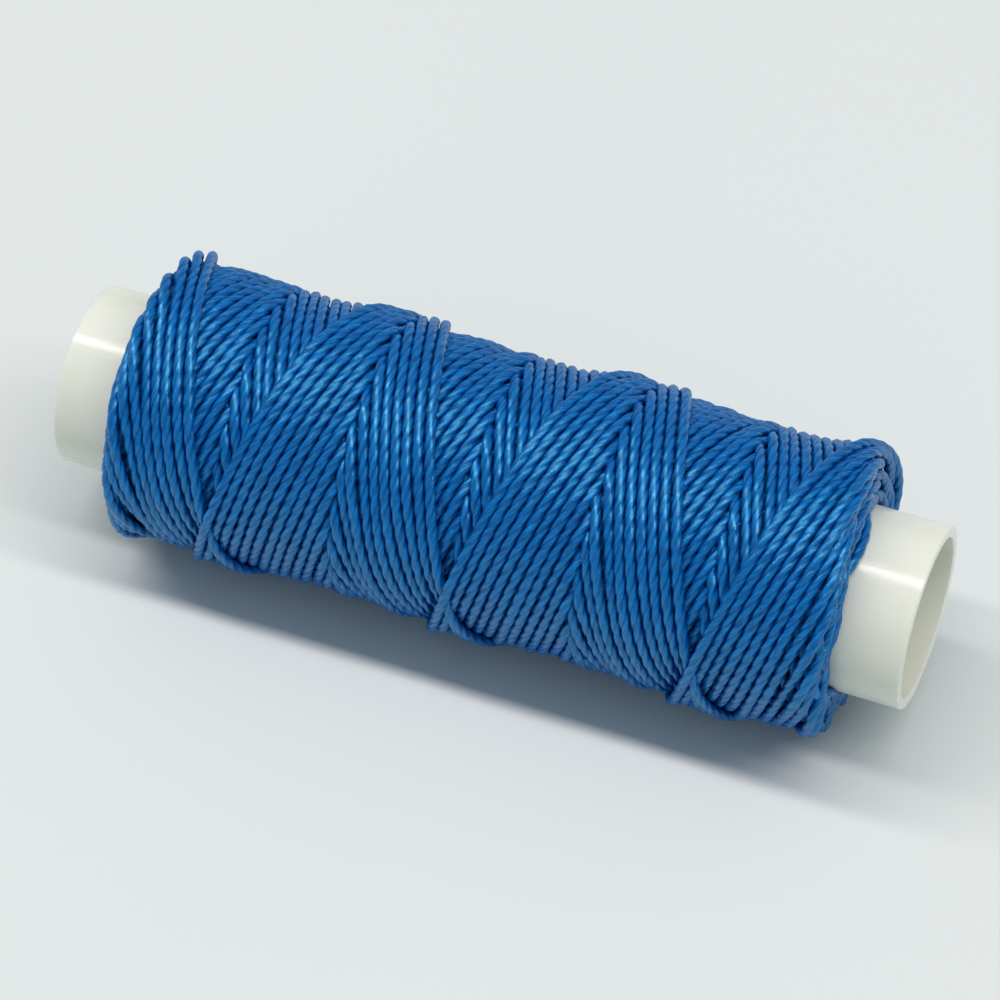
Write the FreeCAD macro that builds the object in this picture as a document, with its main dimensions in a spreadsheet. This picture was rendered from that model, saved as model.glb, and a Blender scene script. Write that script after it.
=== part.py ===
"""Spool of thick waxed thread: an open plastic tube with one long thread cross-wound on its middle.

Frame: millimetres, +Z up. The spool lies on its side on the plane z = 0, on a narrow flat where the
soft winding gives under its own weight. Its axis is parallel to X, and the origin is under the middle
of the tube. The winding's end at -X has a sloping face, and its end at +X a square one.
"""
import FreeCAD
import Part
import Sketcher
import os

FULL_TURN = 360

# alias: (value in millimetres, what it is)
DIMENSIONS = {
    "tube_length": (85.0, "length of the tube, end to end"),
    "tube_radius": (8.85, "outside radius of the tube"),
    "bore_radius": (7.8, "radius of the hole through the tube"),
    "rim_round": (0.12, "rounding of the tube's outer rims"),
    "bore_bevel": (0.1, "bevel at the mouths of the bore"),
    "winding_radius": (13.8, "outside radius of the winding"),
    "winding_left": (35.8, "from the middle of the tube to the foot of the -X face of the winding"),
    "winding_right": (36.0, "from the middle of the tube to the +X face of the winding"),
    "left_slope": (0.5, "how far the -X face leans in between its foot and the outside"),
    "left_shoulder": (1.8, "rounding of the winding's -X shoulder"),
    "right_shoulder": (1.6, "rounding of the winding's +X shoulder"),
    "rest_flat": (0.15, "depth of the flat along the bottom of the winding"),
}


def make_sheet(doc):
    """Writes the driving dimensions as plain numbers, each under its alias."""
    sheet = doc.addObject("Spreadsheet::Sheet", "sizes")
    for row, (alias, (value, meaning)) in enumerate(DIMENSIONS.items(), start=1):
        sheet.set(f"A{row}", meaning)
        sheet.set(f"B{row}", str(value))
        sheet.setAlias(f"B{row}", alias)
    doc.recompute()
    return sheet


def make_body(doc, label):
    """A body whose X axis is the spool's axis, raised so that the winding's flat is on the ground."""
    body = doc.addObject("PartDesign::Body", label)
    body.Label = label
    body.setExpression("Placement.Base.z", "sizes.winding_radius - sizes.rest_flat")
    return body


def sketch_on(body, role, name):
    """A new sketch on one of the body's own origin planes."""
    plane = next(feature for feature in body.Origin.OriginFeatures if feature.Role == role)
    sketch = body.newObject("Sketcher::SketchObject", name)
    sketch.AttachmentSupport = [(plane, "")]
    sketch.MapMode = "FlatFace"
    return sketch


def drive(sketch, constraint, expression):
    """Adds a dimension to the sketch and binds it to the sheet."""
    index = sketch.addConstraint(constraint)
    sketch.setExpression(f"Constraints[{index}]", expression)


def add_loop(sketch, points):
    """Adds a closed loop of straight lines through the points, joined end to end."""
    sides = [
        sketch.addGeometry(Part.LineSegment(start, end))
        for start, end in zip(points, points[1:] + points[:1])
    ]
    for side, following in zip(sides, sides[1:] + sides[:1]):
        sketch.addConstraint(Sketcher.Constraint("Coincident", side, 2, following, 1))
    return sides


def rings(feature, radius, x_sign=None):
    """Names of the feature's circular edges of one radius, at both ends or only on one side of x = 0."""
    names = []
    for number, edge in enumerate(feature.Shape.Edges, start=1):
        curve = edge.Curve
        if not isinstance(curve, Part.Circle) or abs(curve.Radius - radius) > 1e-6:
            continue
        if x_sign is None or edge.Vertexes[0].X * x_sign > 0:
            names.append(f"Edge{number}")
    return names


def make_core_tube(doc, sheet):
    """The plastic tube: a ring drawn across the axis and padded to both sides, with eased rims."""
    body = make_body(doc, "core_tube")
    section = sketch_on(body, "YZ_Plane", "tube_section")
    for alias in ("tube_radius", "bore_radius"):
        radius = float(sheet.get(alias))
        circle = section.addGeometry(Part.Circle(FreeCAD.Vector(), FreeCAD.Vector(0, 0, 1), radius))
        section.addConstraint(Sketcher.Constraint("Coincident", circle, 3, -1, 1))
        drive(section, Sketcher.Constraint("Radius", circle, radius), f"sizes.{alias}")

    wall = body.newObject("PartDesign::Pad", "tube_wall")
    wall.Profile = section
    wall.Midplane = True
    wall.setExpression("Length", "sizes.tube_length")
    doc.recompute()

    rims = body.newObject("PartDesign::Fillet", "outer_rims")
    rims.Base = (wall, rings(wall, float(sheet.get("tube_radius"))))
    rims.setExpression("Radius", "sizes.rim_round")
    doc.recompute()

    mouths = body.newObject("PartDesign::Chamfer", "bore_mouths")
    mouths.Base = (rims, rings(rims, float(sheet.get("bore_radius"))))
    mouths.setExpression("Size", "sizes.bore_bevel")
    return body


def make_thread_winding(doc, sheet):
    """The wound thread's outer shape: a four-sided profile turned about the axis, with round shoulders."""
    body = make_body(doc, "thread_winding")
    profile = sketch_on(body, "XZ_Plane", "winding_profile")
    corners = [
        ("-sizes.winding_left", "sizes.tube_radius"),
        ("-(sizes.winding_left - sizes.left_slope)", "sizes.winding_radius"),
        ("sizes.winding_right", "sizes.winding_radius"),
        ("sizes.winding_right", "sizes.tube_radius"),
    ]
    size = {alias: float(sheet.get(alias)) for alias in DIMENSIONS}
    first_guess = [
        (-size["winding_left"], size["tube_radius"]),
        (size["left_slope"] - size["winding_left"], size["winding_radius"]),
        (size["winding_right"], size["winding_radius"]),
        (size["winding_right"], size["tube_radius"]),
    ]
    sides = add_loop(profile, [FreeCAD.Vector(x, height, 0) for x, height in first_guess])
    for side, (x, height), (x_now, height_now) in zip(sides, corners, first_guess):
        drive(profile, Sketcher.Constraint("DistanceX", -1, 1, side, 1, x_now), x)
        drive(profile, Sketcher.Constraint("DistanceY", -1, 1, side, 1, height_now), height)

    turned = body.newObject("PartDesign::Revolution", "winding_turned")
    turned.Profile = profile
    turned.ReferenceAxis = (profile, ["H_Axis"])
    turned.Angle = FULL_TURN
    doc.recompute()

    base = turned
    for alias, x_sign in (("left_shoulder", -1), ("right_shoulder", 1)):
        shoulder = body.newObject("PartDesign::Fillet", alias)
        shoulder.Base = (base, rings(base, size["winding_radius"], x_sign))
        shoulder.setExpression("Radius", f"sizes.{alias}")
        doc.recompute()
        base = shoulder
    cut_rest_flat(body, base, size)
    return body


def cut_rest_flat(body, base, size):
    """Takes the thin sliver below the rest plane off the winding, along its whole length."""
    section = sketch_on(body, "YZ_Plane", "rest_section")
    reach = size["winding_radius"]
    level = size["rest_flat"] - reach
    points = [
        FreeCAD.Vector(-reach, -2 * reach, 0),
        FreeCAD.Vector(reach, -2 * reach, 0),
        FreeCAD.Vector(reach, level, 0),
        FreeCAD.Vector(-reach, level, 0),
    ]
    sides = add_loop(section, points)
    radius = "sizes.winding_radius"
    drive(section, Sketcher.Constraint("DistanceX", -1, 1, sides[0], 1, -reach), f"-{radius}")
    drive(section, Sketcher.Constraint("DistanceY", -1, 1, sides[0], 1, -2 * reach), f"-2 * {radius}")
    drive(section, Sketcher.Constraint("DistanceX", -1, 1, sides[2], 1, reach), radius)
    drive(section, Sketcher.Constraint("DistanceY", -1, 1, sides[2], 1, level), f"sizes.rest_flat - {radius}")
    for side, direction in zip(sides, ("Horizontal", "Vertical", "Horizontal", "Vertical")):
        section.addConstraint(Sketcher.Constraint(direction, side))

    flat = body.newObject("PartDesign::Pocket", "rest_flat")
    flat.Profile = section
    flat.Midplane = True
    flat.setExpression("Length", "sizes.tube_length")
    body.Document.recompute()
    if flat.Shape.Volume >= base.Shape.Volume:
        raise RuntimeError("the rest flat cut nothing")


def check(doc, bodies):
    """Stops the build if any object failed or any sub-part isn't one sound solid."""
    for item in doc.Objects:
        if {"Invalid", "Error"} & set(item.State):
            raise RuntimeError(f"{item.Label} failed: {item.State}")
    for body in bodies:
        shape = body.Shape
        if shape.isNull() or not shape.isValid() or len(shape.Solids) != 1:
            raise RuntimeError(f"{body.Label} isn't one valid solid")


def main():
    doc = FreeCAD.newDocument("thread_spool")
    sheet = make_sheet(doc)
    bodies = [make_core_tube(doc, sheet), make_thread_winding(doc, sheet)]
    doc.recompute()
    check(doc, bodies)

    os.makedirs("parts", exist_ok=True)
    for body in bodies:
        body.Shape.exportStep(f"parts/{body.Label}.step")
        box = body.Shape.optimalBoundingBox(False)
        print(f"{body.Label}: {body.Shape.Volume:.0f} mm3, x {box.XMin:.2f} to {box.XMax:.2f},"
              f" z {box.ZMin:.2f} to {box.ZMax:.2f}")


main()
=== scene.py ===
"""Looks of the thread spool: a white plastic tube with a waxed three-ply thread cross-wound on it.

The tube is the CAD node with a better material. The winding is one real thread, about 24 m long: a
precision winder's law gives its place along the tube, and each stretch is pulled taut over what is
already wound, so the crossings, humps and gaps come out of the winding itself.
Lengths are in millimetres and angles in radians, unless a comment says otherwise, until a point goes
into Blender, which has metres.
"""
import math

import bpy
import numpy as np
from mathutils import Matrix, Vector


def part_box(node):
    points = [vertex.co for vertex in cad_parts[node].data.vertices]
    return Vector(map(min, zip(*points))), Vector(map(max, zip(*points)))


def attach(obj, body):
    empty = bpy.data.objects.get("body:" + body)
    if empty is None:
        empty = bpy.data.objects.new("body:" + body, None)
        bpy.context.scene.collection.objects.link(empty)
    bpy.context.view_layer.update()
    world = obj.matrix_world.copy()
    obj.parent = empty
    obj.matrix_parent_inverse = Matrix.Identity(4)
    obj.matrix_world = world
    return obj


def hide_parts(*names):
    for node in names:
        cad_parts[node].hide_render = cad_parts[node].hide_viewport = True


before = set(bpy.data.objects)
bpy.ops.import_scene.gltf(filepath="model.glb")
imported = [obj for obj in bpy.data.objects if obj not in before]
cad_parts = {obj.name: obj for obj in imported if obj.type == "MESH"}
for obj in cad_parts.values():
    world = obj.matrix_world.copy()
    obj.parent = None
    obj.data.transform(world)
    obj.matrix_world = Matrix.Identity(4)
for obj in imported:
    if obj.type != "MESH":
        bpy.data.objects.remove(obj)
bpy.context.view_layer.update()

MM = 0.001
FULL_TURN = 2 * math.pi

# --- What the frame says, in millimetres ---
tube_low, tube_high = (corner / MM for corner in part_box("core_tube"))
TUBE_RADIUS = (tube_high.y - tube_low.y) / 2
AXIS_HEIGHT = (tube_high.z + tube_low.z) / 2

# --- The camera ---
VIEW_AZIMUTH, VIEW_ELEVATION = 21.32, 48.80     # degrees
VIEW_DISTANCE = 0.4287      # metres from the place it looks at
VIEW_TARGET = (-0.19, 0, AXIS_HEIGHT)
LENS, SENSOR_WIDTH = 162.67, 36     # millimetres
VIEW_SHIFT = (0.0014, -0.0077)      # in picture widths
NEAREST, FARTHEST = 0.01, 10        # metres

# --- The thread ---
THREAD = 1.05               # its thickness over the crests of the plies
WOUND_THREAD = 1.02         # its thickness where it lies pressed in the winding
PLIES = 3
LAY = 5.2                   # length in which a ply goes once round the thread
PLY_OUTLINE = (0.405, 0.472, 0.5, 0.472)    # radius at a groove, flank, crest and flank, in thicknesses
HIDDEN_SIDES = 6            # sides of the plain round thread inside the winding
CORE_SHARE = 0.36           # its radius inside a stretch that has its plies modelled, in thicknesses
half_thick = WOUND_THREAD / 2

# --- The winder ---
LEAD = 24.18                # how far along the tube one turn goes
CYCLE = 22                  # double strokes until the pattern closes and its next layer starts
TURNS = 6 - 1 / CYCLE       # turns in one double stroke, to the far end and back
STROKES = 55                # double strokes in the whole winding
STROKE = LEAD * TURNS / 2   # length of one stroke
LEFT_APEX = -36.04          # where the straight parts of two strokes would meet at the -X end
RIGHT_APEX = LEFT_APEX + STROKE
TURNBACK = 0.5              # half of the angle in which the thread turns back at an end
STROKE_UNEVEN = 0.05        # how unevenly the last strokes are laid, along X
BURIED_UNEVEN = 0.25        # and the ones under them, which keeps holes from lining up
BURIED_AFTER = 28           # double strokes that still show in part
LAST_TURNBACK = math.radians(-97)       # where round the tube the last loop turns back
TUCK_LENGTH, TUCK_DEPTH = 14.0, 1.1     # the free end dives under the outermost turns

# --- The loops at the two ends, where the thread turns back ---
LEFT_REACH = (-0.5, 0.2)    # how far outward a loop may slip from its apex at the -X end
RIGHT_REACH = (-0.6, 0.4)   # and at the +X end, where the loops are slacker
REACHES_TRIED = 8           # a loop slips to whichever of so many places lets it lie lowest
REACH_UNEVEN = 0.12         # and lands this unevenly
LEFT_WIDTH = (0.35, 0.5)    # angle over which a loop slips, at the -X end
RIGHT_WIDTH = (0.8, 1.2)    # and at the +X end
LOOP_MIDDLE = 0.3           # the loop's middle is where it takes this share of its slip, or more
LEFT_LEAN = 0.15            # how far the -X end face leans in from its foot to the outside
LEFT_TILT, RIGHT_TILT = 0.6, 0.6        # how far the tilt of an end face moves its loops along X
END_TILT_TOWARDS = math.radians(120)    # where round the tube that is towards +X; opposite, it's towards -X

# --- The height map that the thread is laid on: rows go round the tube, columns go along it ---
ROWS = 360
COLUMN = 0.1
MAP_START, MAP_END = -40.45, 40.45
WOUND_FROM, WOUND_TO = -35.9, 35.8
TURNBACK_ROWS = 144         # each turn-back is laid on its own, this far to both sides
LOOK = 50                   # steps by which a taut stretch also feels what is before and after it
SETTLE = 0.08               # how deep a thread settles into what it lies on
columns = np.arange(MAP_START, MAP_END + COLUMN / 2, COLUMN)

# --- How the winding is pressed into shape ---
MIDDLE_RADIUS = 12.0        # where a row is as wide as the smoothing takes it to be
RIDGE_NARROW, RIDGE_WIDE = (1.5, 1.5), (2.5, 8.0)   # smoothing round and along the tube
CREST_SMOOTHING = (1.5, 0.4)
RIDGE_SPARED = 0.3          # a ridge lower than this stays
RIDGE_YIELD = 0.6           # and a higher one yields by this share
SHOULDER_TOP = 14.5         # the winding's shoulders are pressed down to this radius
LEFT_SHOULDER, RIGHT_SHOULDER = 1.4, 1.6
RIGHT_SHOULDER_PAST = 0.2   # how far past WOUND_TO the +X shoulder ends
SHOULDER_LAYERS = 1.5       # the shoulders leave this many thicknesses of thread, or more
THINNEST = 0.5              # a thinner winding counts as this thick when it's pressed
NO_COVER = 1e-6             # keeps the smoothing from dividing by zero on the bare tube
REST_ROWS = 6               # rows over which the flat under the winding takes its depth
REST_DOWN = 0.1             # rows that face down less than this, as a cosine, never touch the ground
PLY_STAND = 0.14            # how far the crests of the plies stand out of the height map

# --- The route and its surfaces ---
ROUTE_STEP = 10             # steps of the winding from one route point to the next: 36 points a turn
SPAN_POINTS = 10            # points read back from each span of the smooth route, one for each step
SEEN_DEPTH = 0.3            # a thread with its top this close under the surface still shows
SEEN_ACROSS, SEEN_PLACES = 0.8, 7       # looked for over this share of its width, at so many places
END_ZONE = 4                # a thread this close to an end of the winding may show in the end face
END_DEPTH = 0.6             # if it's this close behind the face
LEVEL = 0.25                # steps of radius in which an end face is looked at
SEEN_WINDOW, SEEN_OFTEN = 5, 2          # of so many steps round a step, so many have to be seen
SHOWN_MARGIN = 5            # steps by which each shown stretch runs on under its neighbours
RINGS_A_PIECE = 7800        # roughly, in each piece of the plies

rng = np.random.default_rng(3)


# ------------------------------------------------------------------ camera

def direction(azimuth, elevation):
    """Unit vector from the object towards a viewer, from angles in degrees. Azimuth 0 is the -Y side."""
    a, e = math.radians(azimuth), math.radians(elevation)
    return Vector((math.sin(a) * math.cos(e), -math.cos(a) * math.cos(e), math.sin(e)))


def make_camera():
    """The camera, looking at the middle of the tube."""
    data = bpy.data.cameras.new("camera")
    data.sensor_width = SENSOR_WIDTH
    data.lens = LENS
    data.shift_x, data.shift_y = VIEW_SHIFT
    data.clip_start, data.clip_end = NEAREST, FARTHEST
    camera = bpy.data.objects.new("camera", data)
    back = direction(VIEW_AZIMUTH, VIEW_ELEVATION)
    camera.location = Vector(VIEW_TARGET) * MM + back * VIEW_DISTANCE
    camera.rotation_mode = "QUATERNION"
    camera.rotation_quaternion = (-back).to_track_quat("-Z", "Y")
    bpy.context.scene.collection.objects.link(camera)
    bpy.context.scene.camera = camera


# ------------------------------------------------------------------ the winder's law

def thread_law():
    """The winder's law: place along the tube at each step round it, the nearest loop, and its bulge.

    A loop's bulge says how much of its slip outward each step takes part in, negative at the -X end.
    """
    turn = np.arange(round(STROKES * TURNS * ROWS) + 1) * FULL_TURN / ROWS
    stroke_turn = FULL_TURN * TURNS / 2
    loop = np.round(turn / stroke_turn).astype(int)
    from_loop = turn - loop * stroke_turn
    rise = LEAD / FULL_TURN
    straight = rise * np.abs(from_loop)
    rounded = rise * (from_loop ** 2 / TURNBACK + TURNBACK) / 2
    inward = np.where(np.abs(from_loop) < TURNBACK, rounded, straight)
    at_left = loop % 2 == 0
    x = np.where(at_left, LEFT_APEX + inward, RIGHT_APEX - inward)

    loops = np.arange(loop.max() + 1)
    buried = loops < loop.max() - 2 * BURIED_AFTER
    uneven = rng.normal(0, np.where(buried, BURIED_UNEVEN, STROKE_UNEVEN))
    x = x + np.interp(turn / stroke_turn, loops, uneven)
    left_width = rng.uniform(*LEFT_WIDTH, len(loops))
    right_width = rng.uniform(*RIGHT_WIDTH, len(loops))
    width = np.where(loops % 2 == 0, left_width, right_width)
    bulge = np.exp(-((from_loop / width[loop]) ** 2))
    return x, loop, np.where(at_left, -bulge, bulge)


# ------------------------------------------------------------------ laying the thread

def column_of(x):
    """The height map's column at each place along the tube."""
    return np.round((x - MAP_START) / COLUMN).astype(int)


def contact(surface, rows, x):
    """Height at which a thread touches the surface at each step, and what it covers there."""
    near = np.arange(-math.ceil(half_thick / COLUMN), math.ceil(half_thick / COLUMN) + 1)
    cols = column_of(x)[:, None] + near
    lift = np.sqrt(np.maximum(half_thick ** 2 - (columns[cols] - x[:, None]) ** 2, 0))
    height = np.where(lift > 0, surface[rows[:, None], cols] + lift, 0).max(1)
    return height, cols, lift


def reaches_of_loop(number, at_angle):
    """The places to which a loop may slip, as distances outward."""
    if number % 2 == 0:
        low, high = LEFT_REACH
        lean = LEFT_LEAN * number / (2 * STROKES)
        tilt = -LEFT_TILT * math.cos(at_angle - END_TILT_TOWARDS)
    else:
        low, high = RIGHT_REACH
        lean = 0
        tilt = RIGHT_TILT * math.cos(at_angle - END_TILT_TOWARDS)
    return np.linspace(low, high, REACHES_TRIED) - lean + tilt


def slip(surface, rows, x, bulge, reaches):
    """How far outward a loop slips: to the place in reach where it lies lowest."""
    middle = np.abs(bulge) > LOOP_MIDDLE
    tried = [contact(surface, rows[middle], (x + reach * bulge)[middle])[0].mean() for reach in reaches]
    return reaches[int(np.argmin(tried))] + rng.normal(0, REACH_UNEVEN)


def taut_hull(along, height):
    """Indices of the points that a taut string touches: the upper hull."""
    hull = [0]
    for i in range(1, len(along)):
        while len(hull) >= 2:
            a, b = hull[-2], hull[-1]
            rise_to_last = (height[b] - height[a]) * (along[i] - along[a])
            rise_to_new = (height[i] - height[a]) * (along[b] - along[a])
            if rise_to_last > rise_to_new:
                break
            hull.pop()
        hull.append(i)
    return hull


def pull_taut(height, x):
    """Distance from the axis of a stretch of thread pulled taut over supports at these heights."""
    radius = height.mean()
    step_round = radius * FULL_TURN / ROWS
    steps = np.hypot(step_round, np.gradient(x))
    along = np.cumsum(steps) - steps[0]
    bend = radius * (steps.mean() / step_round) ** 2
    dip = along ** 2 / (2 * bend)
    hull = taut_hull(along, height - dip)
    return np.interp(along, along[hull], (height - dip)[hull]) + dip


def lay(surface, radius, rows, x, start, stop):
    """Lays the steps from start to stop, pulled taut together with the steps just before and after."""
    part = np.arange(max(0, start - LOOK), min(len(x), stop + LOOK))
    height, cols, lift = contact(surface, rows[part], x[part])
    laid = part < start
    height[laid] = radius[part][laid]
    new = (part >= start) & (part < stop)
    radius[start:stop] = pull_taut(height, x[part])[new]
    top = np.where(lift[new] > 0, radius[start:stop, None] + lift[new] - SETTLE, 0)
    np.maximum.at(surface, (rows[start:stop, None], cols[new]), top)


# ------------------------------------------------------------------ pressing the winding

def blur_weights(widths):
    """Fourier weights that smooth the height map by these widths, round and along the tube."""
    row = FULL_TURN * MIDDLE_RADIUS / ROWS
    rounds = np.fft.fftfreq(ROWS)[:, None] * widths[0] / row
    alongs = np.fft.rfftfreq(len(columns))[None, :] * widths[1] / COLUMN
    return np.exp(-2 * math.pi ** 2 * (rounds ** 2 + alongs ** 2))


wound = ((columns > WOUND_FROM) & (columns < WOUND_TO)) * np.ones((ROWS, 1))


def smoothed(thick, weights):
    """The winding's thickness, smoothed without mixing in the bare tube at its ends."""
    def blur(field):
        return np.fft.irfft2(np.fft.rfft2(field) * weights, s=field.shape)
    return blur(thick * wound) / (blur(wound) + NO_COVER)


def shoulder_limit():
    """Largest thickness of the winding in each column, falling off in an arc at both ends."""
    left = np.clip((WOUND_FROM + LEFT_LEAN + LEFT_SHOULDER - columns) / LEFT_SHOULDER, 0, 1)
    right = np.clip((columns - WOUND_TO - RIGHT_SHOULDER_PAST + RIGHT_SHOULDER) / RIGHT_SHOULDER, 0, 1)
    drop = LEFT_SHOULDER * (1 - np.sqrt(1 - left ** 2)) + RIGHT_SHOULDER * (1 - np.sqrt(1 - right ** 2))
    return np.maximum(SHOULDER_TOP - TUBE_RADIUS - drop, SHOULDER_LAYERS * WOUND_THREAD)


NARROW, WIDE, CLOSE = (blur_weights(widths) for widths in (RIDGE_NARROW, RIDGE_WIDE, CREST_SMOOTHING))
THICKNESS_LIMIT = shoulder_limit()


def crests(thick):
    """The winding's thickness over the tops of its threads."""
    reach = math.ceil(WOUND_THREAD / COLUMN / 2)
    return np.max([np.roll(thick, shift, axis=1) for shift in range(-reach, reach + 1)], axis=0)


def press(surface, radius, rows, x):
    """Presses ridges and shoulders down, with every thread in them, and returns the new surface."""
    thick = surface - TUBE_RADIUS
    local = smoothed(thick, NARROW)
    ridge = np.maximum(local - smoothed(thick, WIDE) - RIDGE_SPARED, 0)
    share = 1 - RIDGE_YIELD * ridge / np.maximum(local, THINNEST)
    top = smoothed(crests(thick), CLOSE)
    share = np.minimum(share, THICKNESS_LIMIT / np.maximum(top, THINNEST))
    radius[:] = TUBE_RADIUS + (radius - TUBE_RADIUS) * share[rows, column_of(x)]
    return TUBE_RADIUS + thick * share


def wind():
    """Lays the thread on the tube. Gives its place along it and from its axis, its rows, and the surface."""
    x, loop, bulge = thread_law()
    total = len(x)
    rows = (np.arange(total) - (total - 1) + round(LAST_TURNBACK / FULL_TURN * ROWS)) % ROWS
    surface = np.full((ROWS, len(columns)), TUBE_RADIUS)
    radius = np.zeros(total)

    stroke_rows = TURNS * ROWS / 2
    for number in range(2 * STROKES + 1):
        middle = number * stroke_rows
        loop_from, loop_to = (round(middle + side * TURNBACK_ROWS) for side in (-1, 1))
        around = slice(max(0, loop_from), loop_to)
        at_angle = rows[min(round(middle), total - 1)] * FULL_TURN / ROWS
        reach = slip(surface, rows[around], x[around], bulge[around], reaches_of_loop(number, at_angle))
        x[loop == number] += reach * bulge[loop == number]
        for start, stop in ((loop_from, loop_to), (loop_to, round(middle + stroke_rows) - TURNBACK_ROWS)):
            start, stop = max(0, start), min(total, stop)
            if start < stop:
                lay(surface, radius, rows, x, start, stop)
        if number % 2:
            surface = press(surface, radius[:stop], rows[:stop], x[:stop])
    surface = press(surface, radius, rows, x)
    return x, radius, rows, surface


def rest_share(surface):
    """How much of its thickness the winding keeps in each row, so that it lies flat on the ground."""
    down = np.cos(np.arange(ROWS) * FULL_TURN / ROWS - math.pi)
    crest = surface.max(1)
    full = np.max([np.roll(crest, shift) for shift in range(-REST_ROWS, REST_ROWS + 1)], axis=0)
    ground = (AXIS_HEIGHT - PLY_STAND) / np.maximum(down, REST_DOWN)
    to_ground = np.where(down > REST_DOWN, ground, full)
    return np.minimum(1, (to_ground - TUBE_RADIUS) / (full - TUBE_RADIUS))


def tuck(radius):
    """Lets the free end dive under the outermost turns."""
    from_end = np.arange(len(radius))[::-1] * FULL_TURN * radius / ROWS
    return radius - TUCK_DEPTH * np.clip(1 - from_end / TUCK_LENGTH, 0, 1) ** 2


# ------------------------------------------------------------------ what shows

def end_reach(x, radius, rows):
    """How far along X the winding reaches at the row and the distance from the axis of each step."""
    level = ((radius - TUBE_RADIUS) / LEVEL).astype(int) + 1
    reach = np.full((ROWS, level.max() + 2), -math.inf)
    for offset in (-1, 0, 1):
        np.maximum.at(reach, (rows, level + offset), x)
    return reach[rows, level]


def shows(x, radius, rows, surface):
    """Whether each step of the thread can be seen from outside the winding."""
    cols = column_of(x)
    seen = np.zeros(len(x), bool)
    for off in np.linspace(-SEEN_ACROSS, SEEN_ACROSS, SEEN_PLACES) * half_thick:
        lift = math.sqrt(half_thick ** 2 - off ** 2)
        cover = surface[rows, cols + round(off / COLUMN)]
        seen |= radius + lift > cover + SETTLE - SEEN_DEPTH
    for outward in (x, -x):
        seen |= (outward > WOUND_TO - END_ZONE) & (outward > end_reach(outward, radius, rows) - END_DEPTH)
    often = np.convolve(seen, np.ones(SEEN_WINDOW), "same") >= SEEN_OFTEN
    return np.convolve(often, np.ones(2 * SHOWN_MARGIN + 1), "same") > 0


# ------------------------------------------------------------------ route and meshes

def place(x, radius, angle):
    """Points from their place along the tube, distance from its axis and angle from straight up."""
    return np.stack([x, -radius * np.sin(angle), AXIS_HEIGHT + radius * np.cos(angle)], axis=-1)


def smooth_route(points):
    """Points read from the NURBS spline that has these control points."""
    data = bpy.data.curves.new("thread_route", "CURVE")
    data.dimensions = "3D"
    spline = data.splines.new("NURBS")
    spline.points.add(len(points) - 1)
    spline.points.foreach_set("co", np.column_stack([points, np.ones(len(points))]).ravel())
    spline.order_u = 3
    spline.use_endpoint_u = True
    spline.resolution_u = SPAN_POINTS
    route = bpy.data.objects.new("thread_route", data)
    mesh = bpy.data.meshes.new_from_object(route)
    line = np.zeros(len(mesh.vertices) * 3, np.float32)
    mesh.vertices.foreach_get("co", line)
    bpy.data.meshes.remove(mesh)
    bpy.data.objects.remove(route)
    bpy.data.curves.remove(data)
    return line.astype(float).reshape(-1, 3)


def directions_along(line):
    """Unit vectors at each point of the thread: away from the tube's axis, and across the thread."""
    tangent = np.gradient(line, axis=0)
    tangent /= np.linalg.norm(tangent, axis=1)[:, None]
    axis_point = np.stack([line[:, 0], np.zeros(len(line)), np.full(len(line), AXIS_HEIGHT)], axis=-1)
    outward = line - axis_point
    outward -= (outward * tangent).sum(1)[:, None] * tangent
    outward /= np.linalg.norm(outward, axis=1)[:, None]
    return outward, np.cross(tangent, outward)


def skin(line, outward, sideways, outline, turn):
    """Rings round a line: one point of each ring per radius in the outline, turned by turn."""
    angle = turn[:, None] + np.arange(outline.shape[-1]) * FULL_TURN / outline.shape[-1]
    flat = np.cos(angle)[..., None] * outward[:, None] + np.sin(angle)[..., None] * sideways[:, None]
    return line[:, None] + outline[..., None] * flat


def fibre_places(along, sides):
    """Where each ring point lies on the fibres: length along the thread, and place round it."""
    angle = np.arange(sides) * FULL_TURN / sides
    round_it = np.broadcast_to(np.stack([np.cos(angle), np.sin(angle)], axis=-1), (len(along), sides, 2))
    lengths = np.broadcast_to(along[:, None, None], (len(along), sides, 1))
    return np.concatenate([lengths, round_it], axis=-1)


def tube_mesh(name, rings, starts, along):
    """A closed tube over each run of rings.

    starts says which rings begin a run, and along says how far along the thread each ring is.
    """
    count, sides = rings.shape[:2]
    first = np.flatnonzero(starts)
    last = np.append(first[1:], count) - 1
    joined = np.setdiff1d(np.arange(count), last)
    corner = np.arange(sides)
    following = np.roll(corner, -1)
    base = joined[:, None] * sides
    on_next = base + sides
    quads = np.stack([base + corner, base + following, on_next + following, on_next + corner], axis=-1)
    caps = np.concatenate([first[:, None] * sides + corner[::-1], last[:, None] * sides + corner])
    faces = quads.reshape(-1, 4).tolist() + caps.tolist()

    mesh = bpy.data.meshes.new(name)
    mesh.from_pydata((rings.reshape(-1, 3) * MM).tolist(), [], faces)
    fibre = mesh.attributes.new("fibre", "FLOAT_VECTOR", "POINT")
    fibre.data.foreach_set("vector", fibre_places(along, sides).ravel())
    mesh.shade_smooth()
    for cap in range(len(mesh.polygons) - len(caps), len(mesh.polygons)):
        mesh.polygons[cap].use_smooth = False
    piece = bpy.data.objects.new(name, mesh)
    bpy.context.scene.collection.objects.link(piece)
    return piece


def make_core(line, outward, sideways, along, shown):
    """The whole thread as one plain tube, thinner where its plies are modelled over it."""
    size = np.where(shown, CORE_SHARE * THREAD, half_thick)
    outline = np.repeat(size[:, None], HIDDEN_SIDES, axis=1)
    rings = skin(line, outward, sideways, outline, np.zeros(len(line)))
    starts = np.arange(len(line)) == 0
    return tube_mesh("thread", rings, starts, along)


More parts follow.
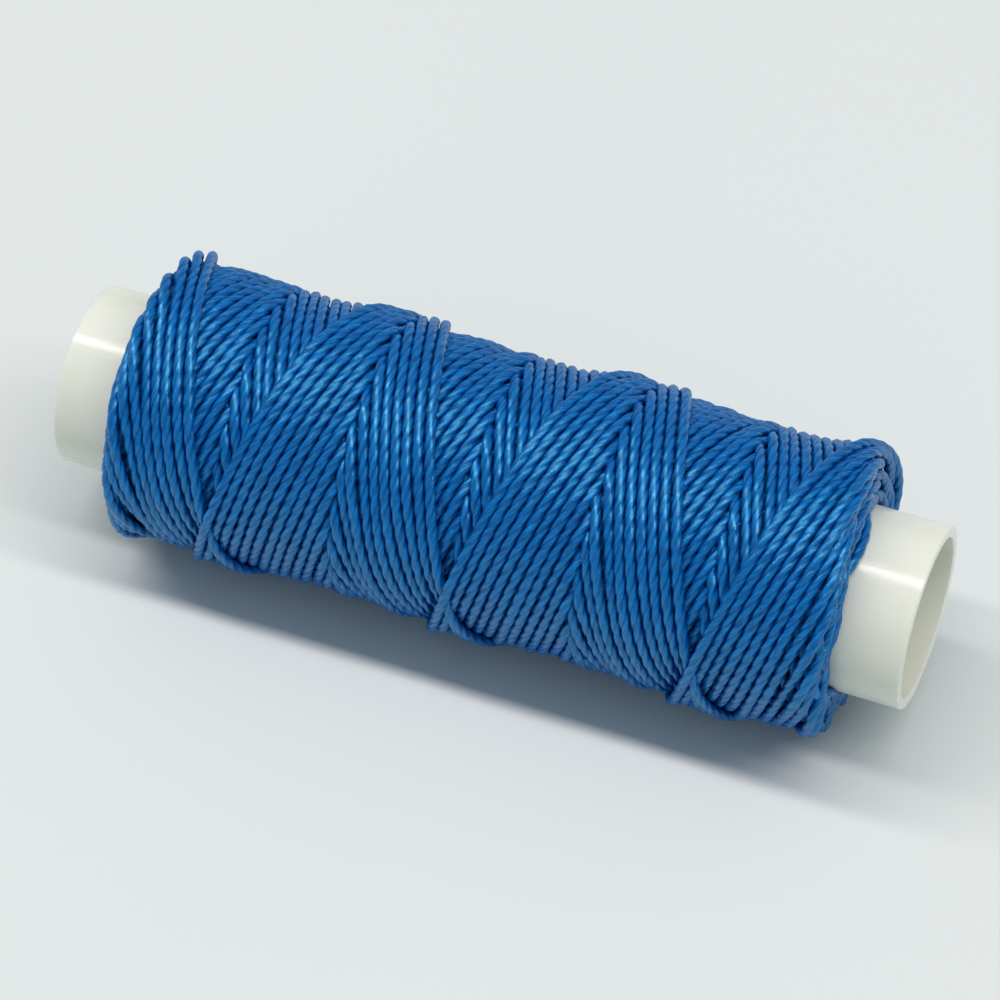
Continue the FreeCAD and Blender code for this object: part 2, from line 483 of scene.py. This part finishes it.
def make_plies(line, outward, sideways, along, chosen, underneath):
    """The plies of the chosen points of the route, in pieces that are parted underneath the winding."""
    new_run = np.append(True, np.diff(chosen) > 1)
    outline = np.tile(np.array(PLY_OUTLINE) * THREAD, PLIES)
    unseen = np.flatnonzero(new_run | underneath)
    wanted = np.arange(0, len(chosen) - RINGS_A_PIECE // 2, RINGS_A_PIECE)
    starts = unseen[np.searchsorted(unseen, wanted)]
    stops = np.append(starts[1:], len(chosen))
    plies = []
    for number, (start, stop) in enumerate(zip(starts, stops), start=1):
        if stop < len(chosen) and not new_run[stop]:
            stop += 1       # the next piece starts on this ring, so there's no gap between the two
        part = chosen[start:stop]
        begins = new_run[start:stop].copy()
        begins[0] = True
        turn = FULL_TURN * along[part] / LAY
        rings = skin(line[part], outward[part], sideways[part], outline[None, :], turn)
        plies.append(tube_mesh(f"thread_plies_{number}", rings, begins, along[part]))
    return plies


def make_thread():
    """The whole thread along its route, and the plies of the stretches that show."""
    x, radius, rows, surface = wind()
    share = rest_share(surface)
    shown_steps = shows(x, radius, rows, surface)
    radius = TUBE_RADIUS + (tuck(radius) - TUBE_RADIUS) * share[rows]

    angle = np.unwrap(rows * FULL_TURN / ROWS)
    kept = np.append(np.arange(0, len(x) - 1, ROUTE_STEP), len(x) - 1)
    outside = 1 / math.cos(FULL_TURN * ROUTE_STEP / ROWS / 2)   # the spline cuts inside its points
    line = smooth_route(place(x[kept], radius[kept] * outside, angle[kept]))
    outward, sideways = directions_along(line)
    along = np.append(0, np.cumsum(np.linalg.norm(np.diff(line, axis=0), axis=1)))
    step = np.minimum(np.arange(len(line)) + ROUTE_STEP // 2, len(x) - 1)
    shown = shown_steps[step]
    print(f"thread {along[-1] * MM:.2f} m, shown {shown.mean() * along[-1] * MM:.2f} m")

    coarse = np.arange(0, len(line), SPAN_POINTS)
    core = make_core(line[coarse], outward[coarse], sideways[coarse], along[coarse], shown[coarse])
    chosen = np.flatnonzero(shown)
    underneath = rows[step[chosen]] == ROWS // 2
    plies = make_plies(line, outward, sideways, along, chosen, underneath)
    return core, plies, line[coarse]


# ------------------------------------------------------------------ materials

THREAD_DARK, THREAD_LIGHT = (0.0, 0.038, 0.225), (0.0, 0.195, 0.63)
THREAD_SHADES = (0.32, 0.63)        # where on the fibres' noise those two colours are
FIBRES = (0.8, 3.2, 3.2)            # how fine the fibres are along the thread and round it
WAX_PATCHES = (0.5, 1.0, 1.0)
THREAD_ROUGHNESS = (0.18, 0.34)
FIBRE_RELIEF = 0.000045             # metres
GROOVE_DEPTH, GROOVE_PAINTED_SHADE = 0.25, 0.14     # what a groove takes off the relief, and the painted shade it takes off the colour
GROOVE_ROUGHNESS = 0.08             # and what it adds to the roughness
POLYESTER_IOR = 1.64
HIGHLIGHT_LEVEL = 1.0               # 0.5 is an even surface; smooth waxed fibres shine more
HIGHLIGHT_TINT = (0.19, 0.76, 1.0)

TUBE_DARK, TUBE_LIGHT = (0.82, 0.83, 0.725), (0.87, 0.88, 0.79)
TUBE_CLOUDS, TUBE_MARKS = 90, 1400  # roughly how many go into a metre
MARK_STRETCH = (0.15, 1, 1)         # the marks are long along the tube
TUBE_ROUGHNESS = (0.15, 0.27)
MARK_RELIEF = 0.000015              # metres
TRANSLUCENCY = 0.35
LIGHT_DEPTH = 0.0012                # metres that light goes into the plastic
LIGHT_SPREAD = (1.0, 1.0, 0.8)      # and how far each of its colours does, as shares of that

FLOOR_DARK, FLOOR_LIGHT = (0.745, 0.78, 0.775), (0.765, 0.80, 0.795)
FLOOR_SHADES = (0.2, 0.8)           # where on the noise those two colours are
FLOOR_CLOUDS = 8                    # roughly how many go into a metre
FLOOR_ROUGHNESS = 0.7

MOST_NOISE = (0.3, 0.7)             # between these lies most of a noise texture


def node_material(name):
    """A material with one Principled shader; gives the material, its nodes, links and shader."""
    material = bpy.data.materials.new(name)
    material.use_nodes = True
    nodes, links = material.node_tree.nodes, material.node_tree.links
    return material, nodes, links, nodes["Principled BSDF"]


def noise(nodes, links, where, scale, detail=2.0, roughness=0.5):
    """A noise texture read at the places that a socket gives."""
    node = nodes.new("ShaderNodeTexNoise")
    node.inputs["Scale"].default_value = scale
    node.inputs["Detail"].default_value = detail
    node.inputs["Roughness"].default_value = roughness
    links.new(where, node.inputs["Vector"])
    return node.outputs["Fac"]


def ramp(nodes, links, value, places, colours):
    """A colour between the two given ones, which are at the two given places."""
    node = nodes.new("ShaderNodeValToRGB")
    for element, at, colour in zip(node.color_ramp.elements, places, colours):
        element.position, element.color = at, (*colour, 1)
    links.new(value, node.inputs["Fac"])
    return node.outputs["Color"]


def spread(nodes, links, value, limits):
    """A number that goes from the lower to the upper limit over the middle of a noise texture."""
    node = nodes.new("ShaderNodeMapRange")
    for socket, number in zip(("From Min", "From Max", "To Min", "To Max"), (*MOST_NOISE, *limits)):
        node.inputs[socket].default_value = number
    links.new(value, node.inputs["Value"])
    return node.outputs["Result"]


def scaled(nodes, links, where, factors):
    """Places stretched by a factor in each direction."""
    node = nodes.new("ShaderNodeVectorMath")
    node.operation = "MULTIPLY"
    node.inputs[1].default_value = factors
    links.new(where, node.inputs[0])
    return node.outputs["Vector"]


def bump(nodes, links, shader, height, depth):
    """Relief of the given depth, in metres, on the shader's surface."""
    node = nodes.new("ShaderNodeBump")
    node.inputs["Distance"].default_value = depth
    links.new(height, node.inputs["Height"])
    links.new(node.outputs["Normal"], shader.inputs["Normal"])


def arithmetic(nodes, links, operation, *values):
    """A sum, product or the like of sockets and numbers."""
    node = nodes.new("ShaderNodeMath")
    node.operation = operation
    for socket, value in zip(node.inputs, values):
        if isinstance(value, bpy.types.NodeSocket):
            links.new(value, socket)
        else:
            socket.default_value = value
    return node.outputs["Value"]


def ply_groove(nodes, links, place_on_thread):
    """1 in a groove between two plies and 0 over the rest: the cosine of three times the angle round.

    That is c * (4 * c * c - 3), where c is the cosine of the angle itself.
    """
    parts = nodes.new("ShaderNodeSeparateXYZ")
    links.new(place_on_thread, parts.inputs["Vector"])
    cosine = parts.outputs["Y"]
    inner = arithmetic(nodes, links, "MULTIPLY_ADD", arithmetic(nodes, links, "POWER", cosine, 2), 4, -3)
    threefold = arithmetic(nodes, links, "MULTIPLY", cosine, inner)
    return arithmetic(nodes, links, "MAXIMUM", threefold, 0)


def thread_material():
    """Waxed polyester thread: shiny fibres along the plies, with painted shade darkening the grooves between
    them.
    """
    material, nodes, links, shader = node_material("waxed_thread")
    attribute = nodes.new("ShaderNodeAttribute")
    attribute.attribute_name = "fibre"
    where = attribute.outputs["Vector"]
    groove = ply_groove(nodes, links, where)
    fibres = noise(nodes, links, scaled(nodes, links, where, FIBRES), scale=1, detail=3, roughness=0.65)
    wax = noise(nodes, links, scaled(nodes, links, where, WAX_PATCHES), scale=1)
    relief = arithmetic(nodes, links, "MULTIPLY_ADD", groove, -GROOVE_DEPTH, fibres)
    # painted shade: the colour is darkened in the grooves between the plies, where shade falls
    fibres_and_painted_shade = arithmetic(nodes, links, "MULTIPLY_ADD", groove, -GROOVE_PAINTED_SHADE, fibres)
    colour = ramp(nodes, links, fibres_and_painted_shade, THREAD_SHADES, (THREAD_DARK, THREAD_LIGHT))
    links.new(colour, shader.inputs["Base Color"])
    polish = spread(nodes, links, wax, THREAD_ROUGHNESS)
    roughness = arithmetic(nodes, links, "MULTIPLY_ADD", groove, GROOVE_ROUGHNESS, polish)
    links.new(roughness, shader.inputs["Roughness"])
    bump(nodes, links, shader, relief, FIBRE_RELIEF)
    shader.inputs["Specular IOR Level"].default_value = HIGHLIGHT_LEVEL
    shader.inputs["IOR"].default_value = POLYESTER_IOR
    shader.inputs["Specular Tint"].default_value = (*HIGHLIGHT_TINT, 1)
    return material


def tube_material():
    """White moulded plastic, satin, a little translucent, with faint handling marks."""
    material, nodes, links, shader = node_material("tube_plastic")
    where = nodes.new("ShaderNodeTexCoord").outputs["Object"]
    cloud = noise(nodes, links, where, TUBE_CLOUDS, detail=3)
    marks = noise(nodes, links, scaled(nodes, links, where, MARK_STRETCH), TUBE_MARKS, detail=4)
    links.new(ramp(nodes, links, cloud, MOST_NOISE, (TUBE_DARK, TUBE_LIGHT)), shader.inputs["Base Color"])
    links.new(spread(nodes, links, marks, TUBE_ROUGHNESS), shader.inputs["Roughness"])
    bump(nodes, links, shader, marks, MARK_RELIEF)
    shader.inputs["Subsurface Weight"].default_value = TRANSLUCENCY
    shader.inputs["Subsurface Radius"].default_value = LIGHT_SPREAD
    shader.inputs["Subsurface Scale"].default_value = LIGHT_DEPTH
    return material


def floor_material():
    """A plain pale matte surface."""
    material, nodes, links, shader = node_material("pale_floor")
    where = nodes.new("ShaderNodeTexCoord").outputs["Object"]
    cloud = noise(nodes, links, where, FLOOR_CLOUDS)
    colour = ramp(nodes, links, cloud, FLOOR_SHADES, (FLOOR_DARK, FLOOR_LIGHT))
    links.new(colour, shader.inputs["Base Color"])
    shader.inputs["Roughness"].default_value = FLOOR_ROUGHNESS
    return material


# ------------------------------------------------------------------ floor and light

FLOOR_EDGE = 1.6                # metres from the middle of the floor to each edge
FLOOR_SQUARES = 16              # along each side
STRIP_SIZE = (2.4, 0.115)       # metres, along X and along Y
STRIP_PLACE = (0.0, -0.03, 1.0)
STRIP_POWER = 12.4              # watts
STRIP_COLOUR = (1.0, 0.94, 0.93)
SURROUND = (0.86, 1.0, 1.02)
SURROUND_STRENGTH = 0.35


def make_floor():
    """A wide pale floor under the spool."""
    ticks = np.linspace(-FLOOR_EDGE, FLOOR_EDGE, FLOOR_SQUARES + 1)
    points = [(x, y, 0.0) for y in ticks for x in ticks]
    row = FLOOR_SQUARES + 1
    faces = [
        (j * row + i, j * row + i + 1, (j + 1) * row + i + 1, (j + 1) * row + i)
        for j in range(FLOOR_SQUARES) for i in range(FLOOR_SQUARES)
    ]
    mesh = bpy.data.meshes.new("floor")
    mesh.from_pydata(points, [], faces)
    mesh.materials.append(floor_material())
    floor = bpy.data.objects.new("floor", mesh)
    bpy.context.scene.collection.objects.link(floor)


def make_strip_light():
    """A long, narrow light straight above the spool and parallel to it.

    It's narrow across the spool, so the shadow's long edges are crisp, and long beside it, so the shadow
    fades out past the spool's ends.
    """
    data = bpy.data.lights.new("strip_light", "AREA")
    data.shape = "RECTANGLE"
    data.size, data.size_y = STRIP_SIZE
    data.energy = STRIP_POWER
    data.color = STRIP_COLOUR
    light = bpy.data.objects.new("strip_light", data)
    light.location = STRIP_PLACE
    bpy.context.scene.collection.objects.link(light)


def make_world():
    """An even pale surround."""
    world = bpy.data.worlds.new("surround")
    world.use_nodes = True
    background = world.node_tree.nodes["Background"]
    background.inputs["Color"].default_value = (*SURROUND, 1)
    background.inputs["Strength"].default_value = SURROUND_STRENGTH
    bpy.context.scene.world = world


# ------------------------------------------------------------------ making it all

make_camera()
thread, plies, route = make_thread()
waxed = thread_material()
for piece in (thread, *plies):
    piece.data.materials.append(waxed)
    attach(piece, "root")
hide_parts("thread_winding")

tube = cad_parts["core_tube"]
tube.data.materials.clear()
tube.data.materials.append(tube_material())

make_floor()
make_strip_light()
make_world()
bpy.context.scene.view_settings.view_transform = "Standard"
